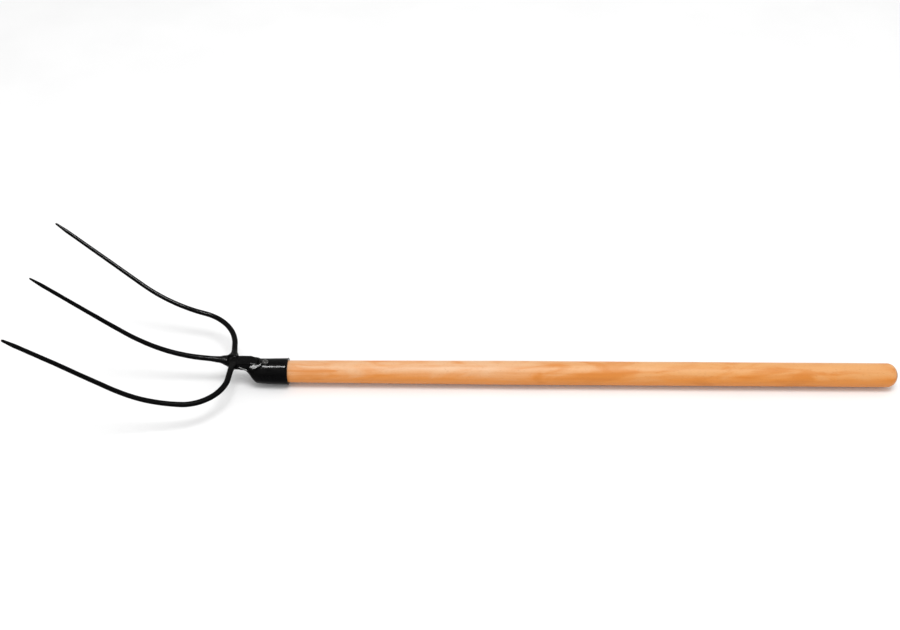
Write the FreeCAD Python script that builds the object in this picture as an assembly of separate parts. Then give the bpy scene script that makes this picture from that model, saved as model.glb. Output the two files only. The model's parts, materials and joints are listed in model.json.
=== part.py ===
import FreeCAD, Part
import math
import os

# A three-tined hay fork: a round wooden handle, a steel socket riveted on its front end,
# and three dished tines welded to a short neck bar that is let into the socket's nose.
# Millimetres. Everything is drawn from the hub, the point on the neck where the three
# tine centrelines meet: +X runs back along the handle, +Y is the left side seen from the
# handle, and +Z is the side that the tips rise to. The last step moves every piece so that
# the origin is the middle of the fork's footprint, level with the underside of the socket.

Vector = FreeCAD.Vector

# handle: a cylinder with a domed butt, shaved to a slow taper towards the socket
GRIP_DIAMETER = 36.0
MOUTH_DIAMETER = 33.0
FRONT_DIAMETER = 31.0
FRONT_END = 34.0
GRIP_START = 400.0
BUTT_END = 992.0
DOME_DEPTH = 15.0
DOME_CORNER = 13.0
HANDLE_Z = -21.5

# socket: a slightly conical tube, then round shoulder sections as (x, diameter, centre z),
# then flat sections pressed up around the neck bar as (x, width, top z, bottom z)
MOUTH = 79.0
SOCKET_MOUTH_DIAMETER = 40.0
TUBE_FRONT = 33.0
SOCKET_FRONT_DIAMETER = 36.8
SOCKET_FRONT_Z = -20.5
SHOULDER_SECTIONS = [
    (27.0, 33.0, -17.0),
    (22.0, 25.0, -10.2),
]
NOSE_SECTIONS = [
    (18.0, 22.5, 2.2, -13.8),
    (7.0, 21.0, 2.6, -10.9),
]
NOSE_CORNER = 5.0

# neck bar: sections along X as (x, width, top z, bottom z)
NECK_SECTIONS = [
    (-16.0, 9.5, 3.0, -3.8),
    (-11.0, 13.0, 3.4, -5.4),
    (-4.0, 18.0, 3.6, -9.6),
    (2.0, 18.5, 3.6, -10.0),
    (26.0, 18.5, 3.6, -10.0),
    (32.0, 17.0, 1.0, -10.0),
    (36.0, 13.0, -0.4, -10.0),
]
NECK_CORNER = 3.0

# tines: one side profile for all three, and a bow that sets the two outer ones apart
TIP_REACH = 257.5
ROOT_SLOPE = math.radians(8.5)
RISE_START = 47.0
RISE_RADIUS = 185.0
TIP_SLOPE = math.radians(43.8)
BOW_SWEEP = math.radians(6.5)
BOW_RUN = 36.0
BOW_RADIUS = 65.0
FLARE = math.radians(8.3)
TINE_ROOT_DIAMETER = 8.6
TINE_END_DIAMETER = 5.2
TINE_TIP_DIAMETER = 2.6
POINT_LENGTH = 13.0
TINE_SECTIONS = 26

# welds: collars that run out along each tine's root, and a bead round the back of the neck
CENTRE_COLLAR = (14.0, 30.0, 11.6)
LEFT_COLLAR = (7.0, 20.0, 18.0)
RIGHT_COLLAR = (7.0, 19.0, 12.6)
COLLAR_EDGE = 0.8
BEAD_DIAMETER = 5.8
BEAD_SECTIONS = 16
BEAD_POINTS = [
    (21.0, 9.5, -2.2),
    (26.0, 9.8, -4.0),
    (32.0, 8.8, -4.6),
    (36.5, 5.2, -2.8),
]

# rivet: domed head on top of the socket, straight shank, end hammered flush underneath
RIVET_X = 46.0
RIVET_SHANK = 6.0
RIVET_HEAD = 11.0
RIVET_HEAD_HEIGHT = 3.2


def wire_at(x, shapes):
    """A closed wire of edges drawn in the YZ plane, moved to this x."""
    wire = Part.Wire(shapes)
    wire.translate(Vector(x, 0, 0))
    return wire


def circle_at(x, z, diameter):
    return wire_at(x, [Part.makeCircle(diameter / 2, Vector(0, 0, z), Vector(1, 0, 0))])


def rounded_rectangle(x, width, top, bottom, corner):
    """A rectangle with round corners across the X axis, starting at its right flank."""
    half = width / 2
    turn = corner * math.sin(math.radians(45))
    edges = []
    corners = [(half, top), (-half, top), (-half, bottom), (half, bottom)]
    for number, (y, z) in enumerate(corners):
        side = math.copysign(1, y)
        up = 1 if z == top else -1
        centre = Vector(0, y - side * corner, z - up * corner)
        on_flank = centre + Vector(0, side * corner, 0)
        on_edge = centre + Vector(0, 0, up * corner)
        middle = centre + Vector(0, side * turn, up * turn)
        ends = (on_flank, on_edge) if number % 2 == 0 else (on_edge, on_flank)
        edges.append(Part.Arc(ends[0], middle, ends[1]).toShape())
    closed = []
    for number, arc in enumerate(edges):
        following = edges[(number + 1) % len(edges)]
        closed.append(arc)
        closed.append(Part.makeLine(arc.valueAt(arc.LastParameter),
                                    following.valueAt(following.FirstParameter)))
    return wire_at(x, closed)


def rise(forward):
    """Height of a tine's centreline at this distance forward of the hub."""
    arc_end = RISE_START + RISE_RADIUS * (math.sin(TIP_SLOPE) - math.sin(ROOT_SLOPE))
    if forward <= RISE_START:
        return math.tan(ROOT_SLOPE) * forward
    along = min(forward, arc_end)
    slope = math.asin((along - RISE_START) / RISE_RADIUS + math.sin(ROOT_SLOPE))
    height = math.tan(ROOT_SLOPE) * RISE_START
    height += RISE_RADIUS * (math.cos(ROOT_SLOPE) - math.cos(slope))
    return height + math.tan(TIP_SLOPE) * (forward - along)


def centre_line(distance):
    """Point on the centre tine at this plan distance from the hub."""
    return Vector(-distance, 0, rise(distance))


def bow_line(distance):
    """Point on the left tine at this plan distance: a run, an arc, then the flared tine."""
    sweep_end = math.pi / 2 - FLARE
    arc_length = BOW_RADIUS * (sweep_end - BOW_SWEEP)
    run = min(distance, BOW_RUN)
    forward = run * math.sin(BOW_SWEEP)
    side = run * math.cos(BOW_SWEEP)
    heading = BOW_SWEEP + min(max(distance - BOW_RUN, 0), arc_length) / BOW_RADIUS
    forward += BOW_RADIUS * (math.cos(BOW_SWEEP) - math.cos(heading))
    side += BOW_RADIUS * (math.sin(heading) - math.sin(BOW_SWEEP))
    rest = max(distance - BOW_RUN - arc_length, 0)
    forward += rest * math.sin(heading)
    side += rest * math.cos(heading)
    return Vector(-forward, side, rise(forward))


def bow_length():
    """Plan length of an outer tine, from the hub to its tip."""
    sweep_end = math.pi / 2 - FLARE
    arc_length = BOW_RADIUS * (sweep_end - BOW_SWEEP)
    arc_end = -bow_line(BOW_RUN + arc_length).x
    return BOW_RUN + arc_length + (TIP_REACH - arc_end) / math.cos(FLARE)


def section_on(line, distance, diameter):
    """A circle square to a tine's centreline."""
    step = 0.01
    tangent = line(distance + step) - line(distance - step)
    across = Vector(0, 0, 1).cross(tangent)
    turn = FreeCAD.Rotation(across, tangent.cross(across), tangent, "ZXY")
    circle = Part.Wire([Part.makeCircle(diameter / 2)])
    circle.Placement = FreeCAD.Placement(line(distance), turn)
    return circle


def round_bar(line, stations):
    """A solid bar along a centreline, through (distance, diameter) stations."""
    sections = [section_on(line, distance, diameter) for distance, diameter in stations]
    return Part.makeLoft(sections, True, False)


def tine_diameter(distance, length):
    """Even taper from the root, then a short ground point."""
    shoulder = length - POINT_LENGTH
    if distance <= shoulder:
        return TINE_ROOT_DIAMETER + (TINE_END_DIAMETER - TINE_ROOT_DIAMETER) * distance / shoulder
    share = (distance - shoulder) / POINT_LENGTH
    return TINE_END_DIAMETER + (TINE_TIP_DIAMETER - TINE_END_DIAMETER) * share


def tine(line, start, length):
    span = length - start
    distances = [start + span * number / TINE_SECTIONS for number in range(TINE_SECTIONS + 1)]
    return round_bar(line, [(d, tine_diameter(d, length)) for d in distances])


def collar(line, length, start, end, diameter):
    """A weld fillet round a tine's root: thick at the neck, feathered out along the tine."""
    middle = (start + end) / 2
    end_diameter = tine_diameter(end, length) + COLLAR_EDGE
    middle_diameter = (diameter + 3 * end_diameter) / 4
    return round_bar(line, [(start, diameter), (middle, middle_diameter), (end, end_diameter)])


def dome_edges(start, radius):
    """The butt's outline: a corner arc off the cylinder, then a flatter crown arc to the axis."""
    offset = radius - DOME_CORNER
    gap = DOME_DEPTH - DOME_CORNER
    behind = (offset ** 2 - gap ** 2) / (2 * gap)
    corner_centre = Vector(start, 0, offset)
    crown_centre = Vector(start - behind, 0, 0)
    crown_radius = DOME_DEPTH + behind
    outward = (corner_centre - crown_centre).normalize()
    slope = math.atan2(outward.z, outward.x)
    joint = crown_centre + outward * crown_radius
    half_turn = (slope + math.pi / 2) / 2
    on_corner = corner_centre + Vector(math.cos(half_turn), 0, math.sin(half_turn)) * DOME_CORNER
    on_crown = crown_centre + Vector(math.cos(slope / 2), 0, math.sin(slope / 2)) * crown_radius
    return [
        Part.Arc(Vector(start, 0, radius), on_corner, joint).toShape(),
        Part.Arc(joint, on_crown, Vector(start + DOME_DEPTH, 0, 0)).toShape(),
    ]


def handle_body():
    """The whole handle as one turned solid about its axis."""
    front = FRONT_DIAMETER / 2
    mouth = MOUTH_DIAMETER / 2
    grip = GRIP_DIAMETER / 2
    dome_start = BUTT_END - DOME_DEPTH
    points = [
        Vector(FRONT_END, 0, 0),
        Vector(FRONT_END, 0, front),
        Vector(MOUTH, 0, mouth),
        Vector(GRIP_START, 0, grip),
        Vector(dome_start, 0, grip),
    ]
    edges = [Part.makeLine(a, b) for a, b in zip(points, points[1:])]
    edges += dome_edges(dome_start, grip)
    edges.append(Part.makeLine(Vector(BUTT_END, 0, 0), points[0]))
    profile = Part.Face(Part.Wire(edges))
    body = profile.revolve(Vector(0, 0, 0), Vector(1, 0, 0), 360)
    body.translate(Vector(0, 0, HANDLE_Z))
    return body


def tube_body():
    """The socket's conical length as a solid, without its bore."""
    sections = [
        circle_at(TUBE_FRONT, SOCKET_FRONT_Z, SOCKET_FRONT_DIAMETER),
        circle_at(MOUTH, HANDLE_Z, SOCKET_MOUTH_DIAMETER),
    ]
    return Part.makeLoft(sections, True, True)


def nose_body():
    """The pressed nose: round shoulders at the tube, then a flat wrap round the neck."""
    shoulders = [circle_at(TUBE_FRONT, SOCKET_FRONT_Z, SOCKET_FRONT_DIAMETER)]
    shoulders += [circle_at(x, z, diameter) for x, diameter, z in SHOULDER_SECTIONS]
    wraps = [rounded_rectangle(*section, NOSE_CORNER) for section in NOSE_SECTIONS]
    rear = Part.makeLoft(shoulders, True, True)
    middle = Part.makeLoft([shoulders[-1], wraps[0]], True, True)
    front = Part.makeLoft(wraps, True, True)
    return rear.fuse([middle, front])


def neck_body(tube):
    """The neck bar, its tongue saddled on the tube."""
    sections = [rounded_rectangle(*section, NECK_CORNER) for section in NECK_SECTIONS]
    return Part.makeLoft(sections, True, True).cut(tube)


def rivet_parts(tube):
    """The rivet, and the straight hole that it goes through."""
    on_top = SOCKET_FRONT_Z + SOCKET_FRONT_DIAMETER / 2
    head_top = on_top + RIVET_HEAD_HEIGHT
    below = HANDLE_Z - SOCKET_MOUTH_DIAMETER
    hole = Part.makeCylinder(RIVET_SHANK / 2, head_top - RIVET_HEAD_HEIGHT / 2 - below,
                             Vector(RIVET_X, 0, below))
    radius = (RIVET_HEAD ** 2 / 4 + RIVET_HEAD_HEIGHT ** 2) / (2 * RIVET_HEAD_HEIGHT)
    middle = Vector(RIVET_X, 0, head_top - radius)
    blank = Part.makeCylinder(RIVET_HEAD / 2, radius, middle)
    head = Part.makeSphere(radius, middle).common(blank).cut(tube)
    return head.fuse(hole.common(tube)).removeSplitter(), hole


def neck_bead():
    """A round weld bead, up one side of the neck and down the other."""
    left = [Vector(*point) for point in BEAD_POINTS]
    right = [Vector(p.x, -p.y, p.z) for p in reversed(left)]
    curve = Part.BSplineCurve()
    curve.interpolate(left + right)
    span = curve.LastParameter - curve.FirstParameter
    inset = span / BEAD_SECTIONS / 2
    step = (span - 2 * inset) / BEAD_SECTIONS
    places = [curve.FirstParameter + inset + step * n for n in range(BEAD_SECTIONS + 1)]
    return round_bar(curve.value, [(place, BEAD_DIAMETER) for place in places])


def mirrored(shape):
    return shape.mirror(Vector(0, 0, 0), Vector(0, 1, 0))


def build():
    """Every piece by name, in hub coordinates."""
    tube = tube_body()
    neck = neck_body(tube)
    handle = handle_body()
    rivet, hole = rivet_parts(tube)
    casing = tube.fuse(nose_body()).removeSplitter()
    centre_length = TIP_REACH
    centre_tine = tine(centre_line, -NECK_SECTIONS[0][0], centre_length).cut(neck)
    left_length = bow_length()
    left_tine = tine(bow_line, LEFT_COLLAR[0], left_length).cut(neck)
    centre_weld = collar(centre_line, centre_length, *CENTRE_COLLAR)
    left_weld = collar(bow_line, left_length, *LEFT_COLLAR)
    small_weld = collar(bow_line, left_length, *RIGHT_COLLAR)
    return {
        "handle": handle.cut(hole),
        "socket": casing.cut([handle, neck, hole]),
        "neck_bar": neck,
        "centre_tine": centre_tine,
        "left_tine": left_tine,
        "right_tine": mirrored(left_tine),
        "centre_tine_weld": centre_weld.cut(neck).cut(centre_tine),
        "left_tine_weld": left_weld.cut([neck, left_tine, casing]),
        "right_tine_weld": mirrored(small_weld.cut([neck, left_tine])),
        "neck_weld": neck_bead().cut([casing, neck, rivet]),
        "socket_rivet": rivet,
    }


def main():
    os.makedirs("parts", exist_ok=True)
    to_origin = Vector((TIP_REACH - BUTT_END) / 2, 0, SOCKET_MOUTH_DIAMETER / 2 - HANDLE_Z)
    for name, shape in build().items():
        shape.translate(to_origin)
        box = shape.BoundBox
        print(f"{name:18} solids {len(shape.Solids)} valid {shape.isValid()} "
              f"volume {shape.Volume:.0f} x {box.XMin:.1f}..{box.XMax:.1f} "
              f"y {box.YMin:.1f}..{box.YMax:.1f} z {box.ZMin:.1f}..{box.ZMax:.1f}")
        shape.exportStep(f"parts/{name}.step")


main()
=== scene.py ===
import json
import math

import bmesh
import bpy
from mathutils import Matrix, Vector, noise

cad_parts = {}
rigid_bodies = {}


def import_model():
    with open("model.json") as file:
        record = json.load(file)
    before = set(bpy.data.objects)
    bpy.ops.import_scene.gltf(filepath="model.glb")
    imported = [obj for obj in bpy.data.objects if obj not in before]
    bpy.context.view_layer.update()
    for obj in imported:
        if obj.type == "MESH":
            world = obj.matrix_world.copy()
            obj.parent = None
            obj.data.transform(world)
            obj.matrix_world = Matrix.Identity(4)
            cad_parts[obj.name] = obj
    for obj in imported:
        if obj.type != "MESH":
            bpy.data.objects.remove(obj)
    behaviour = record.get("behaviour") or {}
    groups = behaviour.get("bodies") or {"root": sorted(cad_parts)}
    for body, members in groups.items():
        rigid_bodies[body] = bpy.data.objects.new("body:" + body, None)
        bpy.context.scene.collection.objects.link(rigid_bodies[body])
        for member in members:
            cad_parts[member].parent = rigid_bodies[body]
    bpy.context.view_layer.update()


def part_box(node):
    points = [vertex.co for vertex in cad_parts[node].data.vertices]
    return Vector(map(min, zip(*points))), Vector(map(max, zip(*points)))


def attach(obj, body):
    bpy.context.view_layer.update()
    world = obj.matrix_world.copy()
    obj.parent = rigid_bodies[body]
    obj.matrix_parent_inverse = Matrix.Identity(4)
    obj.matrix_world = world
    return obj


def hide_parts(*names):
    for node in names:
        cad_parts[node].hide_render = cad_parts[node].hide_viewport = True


# The looks of a three-tined hay fork, in metres in the CAD frame: +X runs back along the
# handle, +Z is up, and the fork lies tips up on its socket. Shapes are worked out in
# millimetres from the hub, the point on the neck where the three tine centrelines meet.

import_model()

MM = 0.001

# ---------------------------------------------------------------- sizes, in millimetres
HANDLE_DROP = 21.5          # handle axis below the hub
SOCKET_MOUTH = 79.0         # mouth of the socket behind the hub
LIP_FLARE = 0.5
LIP_LENGTH = 2.4
LIP_ROUND = 0.9             # radius of the lip's outer edge
BORE_ROUND = 0.6            # radius of the edge into the bore
BORE_GAP = 0.12             # from the handle to the bore at the mouth
BORE_DEPTH = 8.0            # how deep the bore is made
BORE_BITE = 0.4             # how much narrower it is at that depth, to end inside the wood
NOSE_END = 36.0             # where the pressed nose has become a tube

ROOT_SLOPE = math.radians(8.5)
RISE_START = 47.0
RISE_RADIUS = 185.0
TIP_SLOPE = math.radians(43.8)
BOW_SWEEP = math.radians(6.5)
BOW_RUN = 36.0
BOW_RADIUS = 65.0
FLARE = math.radians(8.3)
ROOT_DIAMETER = 8.6
END_DIAMETER = 5.2
TIP_DIAMETER = 2.6
POINT_LENGTH = 13.0
PAINT_BUILD = 0.16          # dipped paint over the bare bar
CENTRE_SAG = 1.3            # how far the centre tine sags below its neighbours
RIGHT_STRAY = 1.5           # how far the right tine strays outwards along its bow
RIGHT_TIP_STRAY = 1.2       # and inwards at its tip
LEFT_SHORT = 1.1            # what the left and right tines lack of the full length
RIGHT_SHORT = 0.6

GRIP_RADIUS = 18.0
MOUTH_RADIUS = 16.5
FRONT_RADIUS = 15.5
FRONT_EDGE = 0.6            # bevel on the handle's hidden front
DOME_DEPTH = 15.0
DOME_CORNER = 13.0
GRIP_START = 400.0

# sections across X: x, half width, top, bottom, squareness (2 is round)
NECK_STATIONS = [
    (-17.5, 3.2, 2.4, -2.0, 2.6),
    (-15.5, 4.9, 3.0, -4.0, 3.0),
    (-11.0, 6.6, 3.4, -5.6, 3.2),
    (-4.0, 8.9, 3.6, -9.4, 5.5),
    (4.0, 9.2, 3.5, -10.0, 7.0),
    (25.5, 9.0, 3.4, -10.0, 6.5),
    (29.5, 8.3, 2.2, -10.0, 4.5),
    (33.5, 6.9, 0.2, -9.8, 3.0),
    (36.2, 5.0, -1.2, -8.6, 2.4),
]
SOCKET_STATIONS = [
    (6.6, 9.6, 1.6, -9.6, 3.0),
    (8.6, 10.7, 2.4, -11.0, 2.9),
    (17.5, 11.6, 2.0, -13.6, 2.6),
    (22.0, 12.9, 2.0, -22.4, 2.2),
    (27.0, 16.4, -0.6, -33.4, 2.0),
    (33.0, 18.4, -2.1, -38.9, 2.0),
    (79.0, 20.0, -1.5, -41.5, 2.0),
]
# the middle of the weld behind the neck, from the left side round the back to the right side
NECK_BEAD = [(20.0, 9.6, -1.6), (26.0, 10.0, -4.0), (32.0, 8.8, -4.6), (36.8, 5.2, -2.8),
             (39.8, -5.6, -1.7), (34.5, -9.0, -2.7), (28.6, -10.2, -3.0), (23.4, -10.3, -2.9)]
BEAD_RADIUS = 2.35
BEAD_RIPPLE = 2.7           # spacing of the ripples on the bead
PUDDLE_FROM_END = 7.0       # middle of the fat lump near the bead's right end
PUDDLE_SPREAD = 4.0
PUDDLE_THICKER = 0.4        # what the lump adds to the bead's radius, up and sideways
PUDDLE_WIDER = 3.0
# the face that the weld was dressed to on the right side
BEAD_FACE = (28.5, -10.9, -1.2)
BEAD_FACE_UP = Vector((0.03, -0.44, 0.90))
COLLAR_RIPPLE = 2.9         # spacing of the ripples on the fillets round the tines' roots
LEDGE = (-3.0, -11.0)       # height of the ledge beside the neck at the nose's tip and its root
LEDGE_ROOT = 22.0           # x of that root
LEDGE_ROUND = 1.5           # height over which the ledge turns up into the nose's side
LEDGE_PRESS = 0.24          # share of the nose's width pressed in above the ledge
LEDGE_FADE = (19.0, 4.0)    # x where the press starts to fade, and over how far

RIVET_HEAD_RADIUS = 5.3
RIVET_HEAD_HEIGHT = 3.3
RIVET_SHANK_RADIUS = 3.0

# sides of the rings that meshes are skinned over, and steps along the pieces
TINE_SIDES = 28
TINE_STEP = 1.5
COLLAR_SIDES = 56
COLLAR_STEP = 0.3
BEAD_SIDES = 48
BEAD_STEP = 0.28
NECK_SIDES = 120
NECK_STEPS = 100
SOCKET_SIDES = 208
NOSE_STEPS = 70
TUBE_STEPS = 52
ROUND_STEPS = 6             # steps round a quarter turn at a tip or an edge
RIVET_SIDES = 40
HANDLE_SIDES = 96
HANDLE_STEPS = 260
DOME_STEPS = 14             # steps round each arc of the butt, and of the rivet's head

# ---------------------------------------------------------------- colours
WOOD_PINK = (0.685, 0.415, 0.232, 1)
WOOD_GOLD = (0.67, 0.330, 0.120, 1)
# deeper orange laid on the handle's lower side, as painted shade
WOOD_ORANGE = (0.66, 0.225, 0.028, 1)
WOOD_RING = (0.56, 0.180, 0.022, 1)
WOOD_FLECK = (0.42, 0.150, 0.036, 1)
WOOD_END = (0.200, 0.085, 0.028, 1)
WOOD_END_RING = (0.105, 0.040, 0.013, 1)
WOOD_PORE = (0.060, 0.024, 0.009, 1)
PAINT_DEEP = (0.0005, 0.0005, 0.0006, 1)
PAINT_BLACK = (0.0015, 0.0015, 0.0017, 1)
PAINT_DULL = (0.0035, 0.0035, 0.004, 1)
PAINT_DUST = (0.030, 0.029, 0.028, 1)
# grey that upper faces go to: partly rubbed wear, partly a painted highlight
PAINT_RUB_AND_HIGHLIGHT = (0.075, 0.073, 0.070, 1)
FLOOR_GREY = (0.83, 0.83, 0.83, 1)
FLOOR_PALE = (0.85, 0.85, 0.85, 1)
RING_SPACING = 0.0085       # the wood's growth rings, in metres

# ---------------------------------------------------------------- places, from the frame
handle_low, handle_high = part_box("handle")
socket_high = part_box("socket")[1]
tine_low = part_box("left_tine")[0]
rivet_low, rivet_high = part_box("socket_rivet")
AXIS_Z = (handle_low.z + handle_high.z) / 2
HUB = Vector((socket_high.x - SOCKET_MOUTH * MM, 0, AXIS_Z + HANDLE_DROP * MM))
HANDLE_FRONT = (handle_low.x - HUB.x) / MM
BUTT = (handle_high.x - HUB.x) / MM
TIP_REACH = (HUB.x - tine_low.x) / MM - TIP_DIAMETER / 4
RIVET_X = ((rivet_low.x + rivet_high.x) / 2 - HUB.x) / MM


def place(x, y, z):
    """A point given in millimetres from the hub, in the CAD frame."""
    return HUB + Vector((x, y, z)) * MM


def blend(a, b, share):
    return a + (b - a) * share


def smooth(share):
    share = min(max(share, 0.0), 1.0)
    return share * share * (3 - 2 * share)


def wobble(point, size, seed):
    """Smooth noise from -1 to 1 whose bumps are about size millimetres across."""
    return noise.noise(point / (size * MM) + Vector((seed, seed * 0.7, -seed)))


# ---------------------------------------------------------------- mesh helpers
def skin(name, rings, material, slot, nodes):
    """A closed smooth mesh over rings of points, each end closed on the middle of its ring."""
    count = len(rings[0])
    points = [p for ring in rings for p in ring]
    faces = []
    for r in range(len(rings) - 1):
        for i in range(count):
            j = (i + 1) % count
            faces.append((r * count + i, r * count + j, (r + 1) * count + j, (r + 1) * count + i))
    for r in (0, len(rings) - 1):
        middle = sum(rings[r], Vector()) / count
        points.append(middle)
        for i in range(count):
            faces.append((r * count + i, r * count + (i + 1) % count, len(points) - 1))
    mesh = bpy.data.meshes.new(name)
    mesh.from_pydata(points, [], faces)
    shape = bmesh.new()
    shape.from_mesh(mesh)
    bmesh.ops.recalc_face_normals(shape, faces=shape.faces)
    shape.to_mesh(mesh)
    shape.free()
    mesh.shade_smooth()
    mesh.materials.append(material)
    piece = bpy.data.objects.new(name, mesh)
    bpy.context.scene.collection.objects.link(piece)
    if slot != "handle_wood":       # the lamps that draw highlights reach only steel
        STEEL.objects.link(piece)
    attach(piece, "root")
    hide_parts(*nodes)
    return piece


def ring_on(line, distance, radius_at, count):
    """A ring of points square to a line; radius_at(way, point) gives millimetres. The point
    that it is given lies a little off the line, so that noise there varies round the ring."""
    step = 0.05
    beside = 0.005
    tangent = (line(distance + step) - line(distance - step)).normalized()
    across = Vector((0, 0, 1)).cross(tangent).normalized()
    up = tangent.cross(across)
    centre = line(distance)
    ring = []
    for i in range(count):
        angle = 2 * math.pi * i / count
        way = across * math.cos(angle) + up * math.sin(angle)
        ring.append(centre + way * radius_at(way, centre + way * beside) * MM)
    return ring


def section(x, half_width, top, bottom, power, count, marks):
    """A ring across X with hammer marks given in millimetres by marks(point)."""
    ring = []
    for i in range(count):
        angle = 2 * math.pi * i / count
        c = math.cos(angle)
        s = math.sin(angle)
        size = (abs(c) ** power + abs(s) ** power) ** (-1 / power)
        height = (top + bottom) / 2 + (top - bottom) / 2 * size * s
        at = place(x, half_width * size * c, height)
        ring.append(at + Vector((0, c, s)) * marks(at) * MM)
    return ring


def round_ring(x, radius, count, marks):
    """A round ring on the axis that the handle and the socket's mouth share."""
    return section(x, radius, radius - HANDLE_DROP, -radius - HANDLE_DROP, 2, count, marks)


def unmarked(point):
    """No hammer marks."""
    return 0.0


def stations_at(table, x):
    """The values of a table of stations at x, on smooth curves through its rows."""
    last = len(table) - 2
    n = 0
    while n < last and x > table[n + 1][0]:
        n += 1
    before, low, high, after = [table[min(max(n + k, 0), last + 1)] for k in (-1, 0, 1, 2)]
    width = high[0] - low[0]
    t = (x - low[0]) / width
    values = []
    for k in range(1, len(low)):
        at_low = (high[k] - before[k]) / (high[0] - before[0]) * width
        at_high = (after[k] - low[k]) / (after[0] - low[0]) * width
        values.append((2 * t ** 3 - 3 * t ** 2 + 1) * low[k] + (t ** 3 - 2 * t ** 2 + t) * at_low
                      + (3 * t ** 2 - 2 * t ** 3) * high[k] + (t ** 3 - t ** 2) * at_high)
    return values


def rounded_end(depth, corner):
    """Share of full size at this depth behind a rounded end, never quite nothing."""
    return math.sqrt(max(1 - (1 - min((depth + 0.02) / corner, 1)) ** 2, 0.0))


# ---------------------------------------------------------------- the tines
def rise(forward):
    """Height of a tine's centreline above the hub, in millimetres."""
    arc_end = RISE_START + RISE_RADIUS * (math.sin(TIP_SLOPE) - math.sin(ROOT_SLOPE))
    if forward <= RISE_START:
        return math.tan(ROOT_SLOPE) * forward
    along = min(forward, arc_end)
    slope = math.asin((along - RISE_START) / RISE_RADIUS + math.sin(ROOT_SLOPE))
    height = math.tan(ROOT_SLOPE) * RISE_START
    height += RISE_RADIUS * (math.cos(ROOT_SLOPE) - math.cos(slope))
    return height + math.tan(TIP_SLOPE) * (forward - along)


def centre_line(distance):
    """Point on the centre tine, which sags a little below its neighbours."""
    sag = CENTRE_SAG * smooth((distance - 125) / 40) * (1 - 0.4 * smooth((distance - 190) / 60))
    return place(-distance, 0, rise(distance) - sag)


def bow_line(distance, side):
    """Point on an outer tine at this plan distance; side is 1 for left and -1 for right."""
    arc_length = BOW_RADIUS * (math.pi / 2 - FLARE - BOW_SWEEP)
    run = min(distance, BOW_RUN)
    heading = BOW_SWEEP + min(max(distance - BOW_RUN, 0), arc_length) / BOW_RADIUS
    rest = max(distance - BOW_RUN - arc_length, 0)
    forward = run * math.sin(BOW_SWEEP) + rest * math.sin(heading)
    forward += BOW_RADIUS * (math.cos(BOW_SWEEP) - math.cos(heading))
    out = run * math.cos(BOW_SWEEP) + rest * math.cos(heading)
    out += BOW_RADIUS * (math.sin(heading) - math.sin(BOW_SWEEP))
    if side < 0:
        stray = RIGHT_STRAY * smooth((distance - 18) / 30) * (1 - smooth((distance - 160) / 60))
        stray -= RIGHT_TIP_STRAY * smooth((distance - 225) / 50)
        forward -= stray * math.cos(heading)
        out += stray * math.sin(heading)
    return place(-forward, side * out, rise(forward))


def left_line(distance):
    return bow_line(distance, 1)


def right_line(distance):
    return bow_line(distance, -1)


def bow_length():
    """Plan length of an outer tine's line from the hub to its tip."""
    arc_length = BOW_RADIUS * (math.pi / 2 - FLARE - BOW_SWEEP)
    arc_end = (HUB.x - left_line(BOW_RUN + arc_length).x) / MM
    return BOW_RUN + arc_length + (TIP_REACH - arc_end) / math.cos(FLARE)


def tine_diameter(distance, length):
    """The bare bar's slow taper, then the ground point."""
    shoulder = length - POINT_LENGTH
    if distance <= shoulder:
        return blend(ROOT_DIAMETER, END_DIAMETER, distance / shoulder)
    return blend(END_DIAMETER, TIP_DIAMETER, (distance - shoulder) / POINT_LENGTH)


def tine(name, line, length, start, seed, stouter):
    """A drawn bar: slow forging swells and small hammer marks, then a ground, rounded point.
    Stouter is what the radius gains by the tip over the plain taper."""
    tip_round = TIP_DIAMETER / 2 + PAINT_BUILD + stouter
    steps = int((length - tip_round - start) / TINE_STEP)
    distances = [start + TINE_STEP * n for n in range(steps)]
    for n in range(ROUND_STEPS + 1):
        distances.append(length - tip_round * (1 - math.sin(math.pi / 2 * n / ROUND_STEPS)))
    rings = []
    for distance in distances:
        radius = tine_diameter(distance, length) / 2 + PAINT_BUILD + stouter * distance / length
        from_tip = length - distance
        if from_tip < tip_round:
            radius = max(math.sqrt(max(tip_round ** 2 - (tip_round - from_tip) ** 2, 0)), 0.04)

        def radius_at(way, point, radius=radius, distance=distance):
            oval = 1 + 0.03 * way.z * math.cos(distance / 25 + seed)
            marks = 0.13 * wobble(point, 12, seed) + 0.05 * wobble(point, 4, seed + 3)
            return radius * oval + marks * min(radius / 3, 1)

        rings.append(ring_on(line, distance, radius_at, TINE_SIDES))
    return skin(name + "_visual", rings, PAINT, "black_steel", [name])


# ---------------------------------------------------------------- the welds
def collar(name, line, length, start, end, build, lean, seed):
    """A hollow weld fillet round a root, rippled by the passes, and lumpy. Lean is the
    direction in which it is fuller."""
    rings = []
    steps = int((end - start) / COLLAR_STEP)
    for n in range(steps + 1):
        share = n / steps
        distance = blend(start, end, share)
        bar = tine_diameter(distance, length) / 2 + PAINT_BUILD

        def radius_at(way, point, bar=bar, share=share, distance=distance):
            fuller = 1 + max(way.dot(lean), 0) - 0.45 * max(way.z, 0)
            drift = 3.5 * wobble(point, 7, seed + 2) + 2.5 * way.x
            ripple = math.sin(2 * math.pi * distance / COLLAR_RIPPLE + drift + seed)
            ripple *= 0.5 + 0.8 * wobble(point, 5, seed + 8)
            lump = 0.9 * wobble(point, 6, seed) + 0.30 * wobble(point, 2.2, seed + 5)
            lift = build * fuller * (1 - share) ** 1.7
            return bar + 0.10 + lift + (0.20 * ripple + 0.75 * lump) * (1 - share) ** 0.6

        rings.append(ring_on(line, distance, radius_at, COLLAR_SIDES))
    return skin(name + "_visual", rings, WELD, "black_weld", [name])


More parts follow.
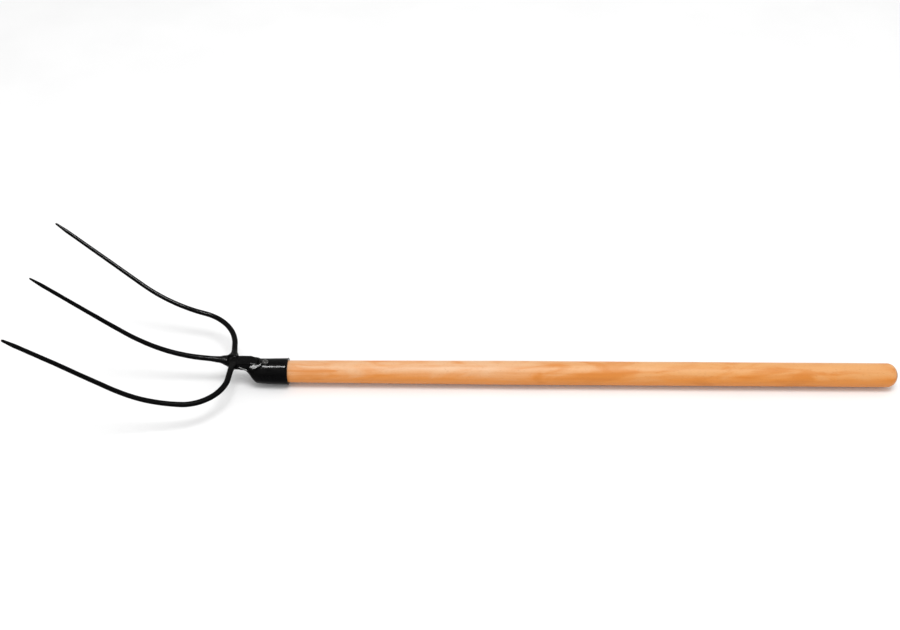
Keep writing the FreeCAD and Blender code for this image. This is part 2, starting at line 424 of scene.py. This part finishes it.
def bead_curve(points):
    """A smooth line through points, as a function of distance in millimetres, and its length."""
    spots = [Vector(p) for p in points]
    spots = [spots[0] * 2 - spots[1]] + spots + [spots[-1] * 2 - spots[-2]]
    fine = []
    for a, b, c, d in zip(spots, spots[1:], spots[2:], spots[3:]):
        for n in range(20):
            t = n / 20
            fine.append(0.5 * (2 * b + (c - a) * t + (2 * a - 5 * b + 4 * c - d) * t * t
                               + (3 * b - a - 3 * c + d) * t ** 3))
    fine.append(spots[-2])
    marks = [0.0]
    for a, b in zip(fine, fine[1:]):
        marks.append(marks[-1] + (b - a).length)

    def line(distance):
        distance = min(max(distance, 0.0), marks[-1])
        n = 0
        while n < len(marks) - 2 and marks[n + 1] < distance:
            n += 1
        share = (distance - marks[n]) / (marks[n + 1] - marks[n])
        return place(*fine[n].lerp(fine[n + 1], share))

    return line, marks[-1]


def neck_bead():
    """The bead round the back of the neck: overlapping ripples, with a fat lump on the right."""
    line, length = bead_curve(NECK_BEAD)
    face = place(*BEAD_FACE)
    rings = []
    steps = int(length / BEAD_STEP)
    for n in range(steps + 1):
        distance = blend(0.06, length - 0.06, n / steps)
        from_end = min(distance, length - distance)
        cap = rounded_end(from_end, 2.6)
        puddle = math.exp(-((length - distance - PUDDLE_FROM_END) / PUDDLE_SPREAD) ** 2)

        def radius_at(way, point, distance=distance, cap=cap, puddle=puddle):
            thick = BEAD_RADIUS + PUDDLE_THICKER * puddle
            wide = BEAD_RADIUS + PUDDLE_WIDER * puddle
            up = min(abs(way.dot(BEAD_FACE_UP)), 1)
            oval = 1 / math.sqrt(up ** 2 / thick ** 2 + (1 - up ** 2) / wide ** 2)
            drift = 0.9 * way.z + 1.5 * wobble(point, 8, 11.0)
            coin = abs(math.sin(math.pi * distance / BEAD_RIPPLE + drift)) * (1 - 0.8 * puddle)
            lump = 0.60 * wobble(point, 6, 2.0) + 0.16 * wobble(point, 2, 7.0)
            return (oval + 0.32 * coin + lump * (1 - 0.6 * puddle)) * cap

        ring = []
        for point in ring_on(line, distance, radius_at, BEAD_SIDES):
            above = (point - face).dot(BEAD_FACE_UP)
            ring.append(point - BEAD_FACE_UP * max(above, 0) * 0.88)
        rings.append(ring)
    return skin("neck_weld_visual", rings, WELD, "black_weld", ["neck_weld"])


# ---------------------------------------------------------------- neck and socket
def neck():
    """The bar from the hub back to its tongue, which lies on top of the socket."""
    def marks(point):
        return 0.26 * wobble(point, 9, 4.0) + 0.08 * wobble(point, 3, 9.0)

    first = NECK_STATIONS[0][0]
    last = NECK_STATIONS[-1][0]
    rings = []
    for n in range(NECK_STEPS + 1):
        x = blend(first, last, n / NECK_STEPS)
        half_width, top, bottom, power = stations_at(NECK_STATIONS, x)
        cap = rounded_end(min(x - first, last - x), 2.0)
        middle = (top + bottom) / 2
        rings.append(section(x, half_width * cap, blend(middle, top, cap),
                             blend(middle, bottom, cap), power, NECK_SIDES, marks))
    return skin("neck_bar_visual", rings, PAINT, "black_steel", ["neck_bar"])


def mouth_rings():
    """The lip's rounded edge, the edge into the bore, and the wall's inside down to the wood."""
    outside = SOCKET_STATIONS[-1][1] + LIP_FLARE
    inside = MOUTH_RADIUS + BORE_GAP
    turns = [math.pi / 2 * n / ROUND_STEPS for n in range(1, ROUND_STEPS + 1)]
    profile = []
    for turn in turns:
        profile.append((SOCKET_MOUTH - LIP_ROUND * (1 - math.sin(turn)),
                        outside - LIP_ROUND * (1 - math.cos(turn))))
    for turn in turns:
        profile.append((SOCKET_MOUTH - BORE_ROUND * (1 - math.cos(turn)),
                        inside + BORE_ROUND * (1 - math.sin(turn))))
    profile.append((SOCKET_MOUTH - BORE_DEPTH, inside - BORE_BITE))
    return [round_ring(x, radius, SOCKET_SIDES, unmarked) for x, radius in profile]


def socket():
    """Pressed nose, slightly conical tube and turned lip."""
    def marks(point):
        nose_share = 1 - smooth(((point.x - HUB.x) / MM - 28) / 20)
        pressed = 0.30 * nose_share * wobble(point, 8, 8.0)
        return 0.18 * wobble(point, 22, 1.0) + 0.06 * wobble(point, 6, 6.0) + pressed

    first = SOCKET_STATIONS[0][0]
    lip_start = SOCKET_MOUTH - LIP_ROUND
    fade_start, fade_length = LEDGE_FADE
    places = [blend(first, NOSE_END, n / NOSE_STEPS) for n in range(NOSE_STEPS)]
    places += [blend(NOSE_END, lip_start, n / TUBE_STEPS) for n in range(TUBE_STEPS + 1)]
    rings = []
    for x in places:
        half_width, top, bottom, power = stations_at(SOCKET_STATIONS, x)
        power = max(power, 2.0)
        cap = blend(0.72, 1.0, rounded_end(x - first, 2.0))
        middle = (top + bottom) / 2
        lip = LIP_FLARE * smooth((x - SOCKET_MOUTH + LIP_LENGTH) / LIP_LENGTH)
        ring = section(x, half_width * cap + lip, blend(middle, top, cap) + lip,
                       blend(middle, bottom, cap) - lip, power, SOCKET_SIDES, marks)
        ledge = HUB.z + blend(*LEDGE, (x - first) / (LEDGE_ROOT - first)) * MM
        fade = 1 - smooth((x - fade_start) / fade_length)
        for point in ring:
            above = smooth((point.z - ledge) / (LEDGE_ROUND * MM)) * fade
            point.y *= 1 - LEDGE_PRESS * above
        rings.append(ring)
    rings += mouth_rings()
    # the lip's hammer marks do not reach below the floor that it lies on
    for ring in rings:
        for point in ring:
            point.z = max(point.z, 0.0)
    return skin("socket_visual", rings, PAINT, "black_steel", ["socket"])


def rivet():
    """A hand-set rivet: flattened dome, short skirt, shank, and the end hammered flush below."""
    top, bottom = stations_at(SOCKET_STATIONS, RIVET_X)[1:3]
    profile = []
    for n in range(1, DOME_STEPS + 1):
        turn = math.pi / 2 * n / DOME_STEPS
        profile.append((RIVET_HEAD_RADIUS * math.sin(turn),
                        top - 0.5 + RIVET_HEAD_HEIGHT * math.cos(turn)))
    profile += [(RIVET_HEAD_RADIUS + 0.3, top - 1.0), (RIVET_HEAD_RADIUS, top - 1.7)]
    profile += [(RIVET_SHANK_RADIUS, top - 2.0), (RIVET_SHANK_RADIUS, bottom + 2.0)]
    profile += [(3.3, bottom + 0.4), (3.1, bottom - 0.15), (1.6, bottom - 0.35)]
    rings = []
    for radius, z in profile:
        ring = []
        for i in range(RIVET_SIDES):
            angle = 2 * math.pi * i / RIVET_SIDES
            at = place(RIVET_X + radius * math.cos(angle), radius * math.sin(angle), z)
            way = Vector((math.cos(angle), math.sin(angle), 0.6))
            ring.append(at + way * 0.22 * wobble(at, 3.5, 3.0) * MM)
        rings.append(ring)
    return skin("socket_rivet_visual", rings, RUB_AND_HIGHLIGHT_PAINT, "black_steel", ["socket_rivet"])


# ---------------------------------------------------------------- the handle
def handle_profile():
    """Stations (x, radius): shaved front, slow taper, straight grip, domed butt."""
    edge_end = HANDLE_FRONT + FRONT_EDGE
    stations = [(HANDLE_FRONT, FRONT_RADIUS - FRONT_EDGE), (edge_end, FRONT_RADIUS)]
    straight_end = BUTT - DOME_DEPTH
    for n in range(1, HANDLE_STEPS + 1):
        x = blend(edge_end, straight_end, n / HANDLE_STEPS)
        if x < SOCKET_MOUTH:
            share = (x - HANDLE_FRONT) / (SOCKET_MOUTH - HANDLE_FRONT)
            radius = blend(FRONT_RADIUS, MOUTH_RADIUS, share)
        else:
            share = (x - SOCKET_MOUTH) / (GRIP_START - SOCKET_MOUTH)
            radius = blend(MOUTH_RADIUS, GRIP_RADIUS, min(share, 1))
        stations.append((x, radius))
    # the dome is a corner arc that runs on into a flatter arc centred further forward
    offset = GRIP_RADIUS - DOME_CORNER
    gap = DOME_DEPTH - DOME_CORNER
    behind = (offset ** 2 - gap ** 2) / (2 * gap)
    joint = math.atan2(offset, behind)
    for n in range(1, DOME_STEPS + 1):
        turn = blend(math.pi / 2, joint, n / DOME_STEPS)
        stations.append((straight_end + DOME_CORNER * math.cos(turn),
                         offset + DOME_CORNER * math.sin(turn)))
    for n in range(1, DOME_STEPS + 1):
        turn = blend(joint, 0.0, n / DOME_STEPS)
        radius = max((DOME_DEPTH + behind) * math.sin(turn), 0.15)
        stations.append((straight_end - behind + (DOME_DEPTH + behind) * math.cos(turn), radius))
    return stations


def handle():
    """The pole, with the faint long swells and flats that sanding leaves."""
    rings = []
    for x, radius in handle_profile():
        sanding = min(radius / GRIP_RADIUS, 1) ** 3

        def marks(point, sanding=sanding):
            along = Vector((point.x * 0.12, point.y, point.z))
            return sanding * (0.14 * wobble(along, 9, 5.0) - 0.06)

        rings.append(round_ring(x, radius, HANDLE_SIDES, marks))
    return skin("handle_visual", rings, WOOD, "handle_wood", ["handle"])


# ---------------------------------------------------------------- materials
class Nodes:
    """A material's node tree with short calls for the nodes used here."""

    def __init__(self, name):
        self.material = bpy.data.materials.new(name)
        self.material.use_nodes = True
        self.tree = self.material.node_tree
        self.shader = self.tree.nodes["Principled BSDF"]

    def add(self, kind, **values):
        node = self.tree.nodes.new(kind)
        for key, value in values.items():
            setattr(node, key, value)
        return node

    def link(self, source, target):
        self.tree.links.new(source, target)

    def feed(self, socket, value):
        """Links an output to a socket, or sets the socket's own value."""
        if isinstance(value, bpy.types.NodeSocket):
            self.link(value, socket)
        else:
            socket.default_value = value

    def coordinates(self, scale, rotation=(0, 0, 0), location=(0, 0, 0)):
        """The place on the object, in metres at a scale of 1, turned and moved. On a scale
        of 30, a noise has about 30 bumps to the metre."""
        source = self.add("ShaderNodeTexCoord")
        mapping = self.add("ShaderNodeMapping")
        mapping.inputs["Scale"].default_value = scale
        mapping.inputs["Rotation"].default_value = rotation
        mapping.inputs["Location"].default_value = location
        self.link(source.outputs["Object"], mapping.inputs["Vector"])
        return mapping.outputs["Vector"]

    def axes(self, vector):
        """The parts of a vector, by the names X, Y and Z."""
        node = self.add("ShaderNodeSeparateXYZ")
        self.link(vector, node.inputs[0])
        return node.outputs

    def place(self):
        """Where the surface is, along each axis, in metres."""
        return self.axes(self.add("ShaderNodeTexCoord").outputs["Object"])

    def facing(self):
        """How far the surface faces along each axis, from -1 to 1."""
        return self.axes(self.add("ShaderNodeTexCoord").outputs["Normal"])

    def noise(self, vector, detail=3.0, roughness=0.5, distortion=0.0):
        node = self.add("ShaderNodeTexNoise")
        self.link(vector, node.inputs["Vector"])
        node.inputs["Scale"].default_value = 1.0
        node.inputs["Detail"].default_value = detail
        node.inputs["Roughness"].default_value = roughness
        node.inputs["Distortion"].default_value = distortion
        return node.outputs["Fac"]

    def math(self, operation, a, b=0.0):
        node = self.add("ShaderNodeMath", operation=operation)
        self.feed(node.inputs[0], a)
        self.feed(node.inputs[1], b)
        return node.outputs[0]

    def times(self, a, b):
        return self.math("MULTIPLY", a, b)

    def total(self, first, *others):
        for other in others:
            first = self.math("ADD", first, other)
        return first

    def band(self, value, low, high, to_low=0.0, to_high=1.0):
        """Maps low..high smoothly to to_low..to_high."""
        node = self.add("ShaderNodeMapRange", interpolation_type="SMOOTHSTEP")
        self.feed(node.inputs["Value"], value)
        node.inputs["From Min"].default_value = low
        node.inputs["From Max"].default_value = high
        node.inputs["To Min"].default_value = to_low
        node.inputs["To Max"].default_value = to_high
        return node.outputs["Result"]

    def mix(self, share, a, b):
        node = self.add("ShaderNodeMix", data_type="RGBA")
        self.feed(node.inputs["Factor"], share)
        self.feed(node.inputs[6], a)
        self.feed(node.inputs[7], b)
        return node.outputs[2]

    def bump(self, height, strength, distance, below=None):
        node = self.add("ShaderNodeBump")
        node.inputs["Strength"].default_value = strength
        node.inputs["Distance"].default_value = distance
        self.link(height, node.inputs["Height"])
        if below is not None:
            self.link(below, node.inputs["Normal"])
        return node.outputs["Normal"]


def growth_rings(m, drift):
    """Late wood, from rings round a pith that runs outside the pole and leans away from it."""
    lean = (math.radians(1.6), math.radians(1.1), math.radians(-0.9))
    pith = m.axes(m.coordinates((1, 1, 1), lean, (0, 0.040, 0.078)))
    squares = m.total(m.math("POWER", pith["Y"], 2.0), m.math("POWER", pith["Z"], 2.0))
    depth = m.total(m.math("SQRT", squares), m.times(drift, 0.020))
    return m.band(m.math("SINE", m.times(depth, 2 * math.pi / RING_SPACING)), -0.1, 1.0)


def wood_material():
    """Pale varnished beech: slow tone drifts, soft long figure, fibres and flecks, dark end grain."""
    m = Nodes("varnished_beech")
    place_of = m.place()
    drift = m.noise(m.coordinates((4.5, 30, 30)), distortion=0.5)
    patches = m.noise(m.coordinates((13, 44, 44), location=(2.4, 0.6, 0.2)), distortion=0.8)
    regions = m.noise(m.coordinates((2.6, 8, 8), location=(5.1, 2, 4)), detail=2.0)
    fibre = m.noise(m.coordinates((26, 1300, 1300)), detail=4.0, roughness=0.62)
    streaks = m.noise(m.coordinates((7, 330, 330)))
    fleck = m.noise(m.coordinates((230, 1900, 1900)), detail=1.0)
    late_wood = growth_rings(m, drift)

    # pink near the socket and golden near the butt, with deeper orange along the lower side as
    # painted shade
    butt_ward = m.total(place_of["X"], m.times(regions, 0.5))
    height = m.total(place_of["Z"], m.times(patches, -0.026), m.times(drift, -0.012),
                     m.band(butt_ward, 0.20, 0.50, -0.0035, 0.0005),
                     m.band(place_of["X"], -0.25, -0.19, 0.006, 0.0))
    # painted shade: the handle's lower side is laid on deeper orange
    lower_side_painted_shade = m.band(height, 0.021, 0.003)
    colour = m.mix(m.band(butt_ward, 0.27, 0.64), WOOD_PINK, WOOD_GOLD)
    colour = m.mix(m.times(lower_side_painted_shade, 0.9), colour, WOOD_ORANGE)
    late_share = m.times(late_wood, m.band(patches, 0.35, 0.65, 0.10, 0.42))
    colour = m.mix(late_share, colour, WOOD_RING)

    # each pattern's figure: where it starts, where it is full, its strength and its colour
    figures = [
        (patches, 0.50, 0.68, 0.55, WOOD_RING),
        (streaks, 0.52, 0.74, 0.16, WOOD_RING),
        (fibre, 0.50, 0.72, 0.20, WOOD_RING),
        (fleck, 0.62, 0.70, 0.40, WOOD_FLECK),
    ]
    for pattern, start, full, strength, tone in figures:
        colour = m.mix(m.band(pattern, start, full, 0.0, strength), colour, tone)

    end_grain = m.mix(m.times(late_wood, 0.7), WOOD_END, WOOD_END_RING)
    end_grain = m.mix(m.band(fleck, 0.56, 0.66, 0.0, 0.6), end_grain, WOOD_PORE)
    colour = m.mix(m.band(m.facing()["X"], 0.58, 0.90, 0.0, 0.97), colour, end_grain)
    m.link(colour, m.shader.inputs["Base Color"])
    m.link(m.band(patches, 0.3, 0.7, 0.40, 0.52), m.shader.inputs["Roughness"])
    m.shader.inputs["Specular IOR Level"].default_value = 0.26
    m.shader.inputs["Coat Weight"].default_value = 0.10
    m.shader.inputs["Coat Roughness"].default_value = 0.35
    grain = m.bump(fibre, 0.22, 0.0002)
    m.link(m.bump(streaks, 0.10, 0.0003, grain), m.shader.inputs["Normal"])
    return m.material


def paint_material(name, peel, rub_and_highlight, seed):
    """Gloss black paint on forged steel: orange peel, dull patches, dust, and upper faces that go
    grey, partly as rubbed wear and partly as a painted highlight. Peel is the strength of the orange
    peel, and the third argument sets how far upper faces go to that grey."""
    m = Nodes(name)
    spot = (seed, seed * 0.5, seed * 2)
    cloud = m.noise(m.coordinates((80, 80, 80), location=spot), detail=4.0)
    fine = m.noise(m.coordinates((420, 420, 420), location=spot), detail=3.0)
    dust = m.noise(m.coordinates((1500, 1500, 1500), location=spot), detail=2.0)
    # painted highlight, partly rubbed wear: faces that look up go grey in patches
    rub_and_painted_highlight = m.times(m.band(m.facing()["Z"], 0.35, 0.85, 0.0, rub_and_highlight),
                    m.band(fine, 0.30, 0.62, 0.45, 1.0))
    colour = m.mix(m.band(cloud, 0.35, 0.70), PAINT_DEEP, PAINT_BLACK)
    colour = m.mix(m.band(fine, 0.55, 0.75, 0.0, 0.5), colour, PAINT_DULL)
    colour = m.mix(m.band(dust, 0.67, 0.74, 0.0, 0.25), colour, PAINT_DUST)
    colour = m.mix(rub_and_painted_highlight, colour, PAINT_RUB_AND_HIGHLIGHT)
    m.link(colour, m.shader.inputs["Base Color"])
    m.link(m.band(cloud, 0.3, 0.75, 0.07, 0.20), m.shader.inputs["Roughness"])
    m.shader.inputs["Specular IOR Level"].default_value = 0.03
    wavy = m.bump(cloud, 0.30, 0.0008)
    m.link(m.bump(fine, peel, 0.0003, wavy), m.shader.inputs["Normal"])
    return m.material


def floor_material():
    """Plain pale grey, very slightly uneven."""
    m = Nodes("pale_floor")
    speck = m.noise(m.coordinates((6, 6, 6)), detail=2.0)
    colour = m.mix(m.band(speck, 0.3, 0.7), FLOOR_GREY, FLOOR_PALE)
    m.link(colour, m.shader.inputs["Base Color"])
    m.shader.inputs["Roughness"].default_value = 0.9
    m.shader.inputs["Specular IOR Level"].default_value = 0.1
    return m.material


STEEL = bpy.data.collections.new("steel")
WOOD = wood_material()
PAINT = paint_material("gloss_black_paint", peel=0.16, rub_and_highlight=0.04, seed=1.0)
WELD = paint_material("painted_weld", peel=0.20, rub_and_highlight=0.10, seed=5.0)
# the rivet's head is laid on grey on top: partly rubbed wear, mostly a painted highlight
RUB_AND_HIGHLIGHT_PAINT = paint_material("black_paint_rubbed_and_painted_highlight", peel=0.16, rub_and_highlight=0.9, seed=8.0)


# ---------------------------------------------------------------- the fork
def build_fork():
    """Every piece, each in place of the CAD node that it is named after."""
    length = bow_length()
    handle()
    socket()
    rivet()
    neck()
    neck_bead()
    tine("centre_tine", centre_line, TIP_REACH, start=8.0, seed=1.0, stouter=-0.12)
    tine("left_tine", left_line, length - LEFT_SHORT, start=5.0, seed=2.0, stouter=-0.05)
    tine("right_tine", right_line, length - RIGHT_SHORT, start=5.0, seed=3.0, stouter=0.22)
    collar("centre_tine_weld", centre_line, TIP_REACH, start=10.0, end=31.0, build=2.3,
           lean=Vector((0, 0.9, 0)), seed=1.0)
    collar("left_tine_weld", left_line, length, start=6.0, end=21.0, build=4.3,
           lean=Vector((-1.1, 0, 0)), seed=2.0)
    collar("right_tine_weld", right_line, length, start=6.0, end=19.0, build=2.4,
           lean=Vector((0.3, 0, 0)), seed=3.0)


# ---------------------------------------------------------------- stage, light and camera
def floor():
    """A level floor, far wider than the fork."""
    half_size = 30.0
    cells = 12
    mesh = bpy.data.meshes.new("floor")
    side = [blend(-half_size, half_size, n / cells) for n in range(cells + 1)]
    points = [(x, y, 0.0) for y in side for x in side]
    row = cells + 1
    faces = []
    for j in range(cells):
        for i in range(cells):
            faces.append((j * row + i, j * row + i + 1, (j + 1) * row + i + 1, (j + 1) * row + i))
    mesh.from_pydata(points, [], faces)
    mesh.materials.append(floor_material())
    piece = bpy.data.objects.new("floor", mesh)
    bpy.context.scene.collection.objects.link(piece)


def area_light(name, location, target, size, watts):
    """A rectangular lamp at location, aimed at target; size is its two sides in metres."""
    data = bpy.data.lights.new(name, "AREA")
    data.shape = "RECTANGLE"
    data.size, data.size_y = size
    data.energy = watts
    lamp = bpy.data.objects.new(name, data)
    lamp.location = location
    lamp.rotation_euler = (Vector(target) - Vector(location)).to_track_quat("-Z", "Y").to_euler()
    bpy.context.scene.collection.objects.link(lamp)
    return lamp


def highlight_only(lamp, *missed):
    """Keeps a lamp's light to reflections in the steel, apart from the nodes that it misses."""
    lamp.visible_diffuse = False
    lit = bpy.data.collections.new(lamp.name + "_lit")
    for piece in STEEL.objects:
        if piece.name.removesuffix("_visual") not in missed:
            lit.objects.link(piece)
    lamp.light_linking.receiver_collection = lit


def lights():
    """Soft light from above, a white world, and two lamps for the bright marks in the paint."""
    area_light("key_light", (0.20, -0.40, 3.0), (0.1, 0, 0), size=(1.6, 0.9), watts=44)
    area_light("fill_light", (0.0, -0.2, 3.6), (0, 0, 0), size=(5.0, 4.0), watts=20)
    sparkle = area_light("sparkle_light", (-0.72, -0.30, 3.0), (-0.35, 0, 0),
                         size=(0.95, 0.38), watts=270)
    streak = area_light("streak_light", (1.32, -0.45, 2.5), (-0.45, 0, 0.05),
                        size=(0.9, 2.4), watts=1000)
    highlight_only(sparkle, "neck_bar")
    highlight_only(streak, "centre_tine", "right_tine", "right_tine_weld")
    world = bpy.data.worlds.new("studio")
    world.use_nodes = True
    background = world.node_tree.nodes["Background"]
    background.inputs["Color"].default_value = (1, 1, 1, 1)
    background.inputs["Strength"].default_value = 0.80
    bpy.context.scene.world = world
    bpy.context.scene.view_settings.view_transform = "Standard"


CAMERA_ELEVATION = math.radians(43.5)
CAMERA_AZIMUTH = math.radians(-0.54)
CAMERA_ROLL = math.radians(0.76)
CAMERA_DISTANCE = 1.5
CAMERA_LENS = 40.0
CAMERA_TARGET = (320.5, 0.0, -22.0)     # in millimetres from the hub
CAMERA_RAISE = 86.4 * MM                # how far above that target the view is centred


def camera():
    """Looks at the middle of the fork from its near side, from above."""
    back = Vector((math.sin(CAMERA_AZIMUTH) * math.cos(CAMERA_ELEVATION),
                   -math.cos(CAMERA_AZIMUTH) * math.cos(CAMERA_ELEVATION),
                   math.sin(CAMERA_ELEVATION)))
    level = Vector((math.cos(CAMERA_AZIMUTH), math.sin(CAMERA_AZIMUTH), 0))
    upright = back.cross(level)
    right = level * math.cos(CAMERA_ROLL) + upright * math.sin(CAMERA_ROLL)
    up = back.cross(right)
    data = bpy.data.cameras.new("camera")
    data.lens = CAMERA_LENS
    eye = bpy.data.objects.new("camera", data)
    spot = place(*CAMERA_TARGET) + up * CAMERA_RAISE + back * CAMERA_DISTANCE
    turn = Matrix((right, up, back)).transposed().to_4x4()
    eye.matrix_world = Matrix.Translation(spot) @ turn
    bpy.context.scene.collection.objects.link(eye)
    bpy.context.scene.camera = eye


build_fork()
floor()
lights()
camera()
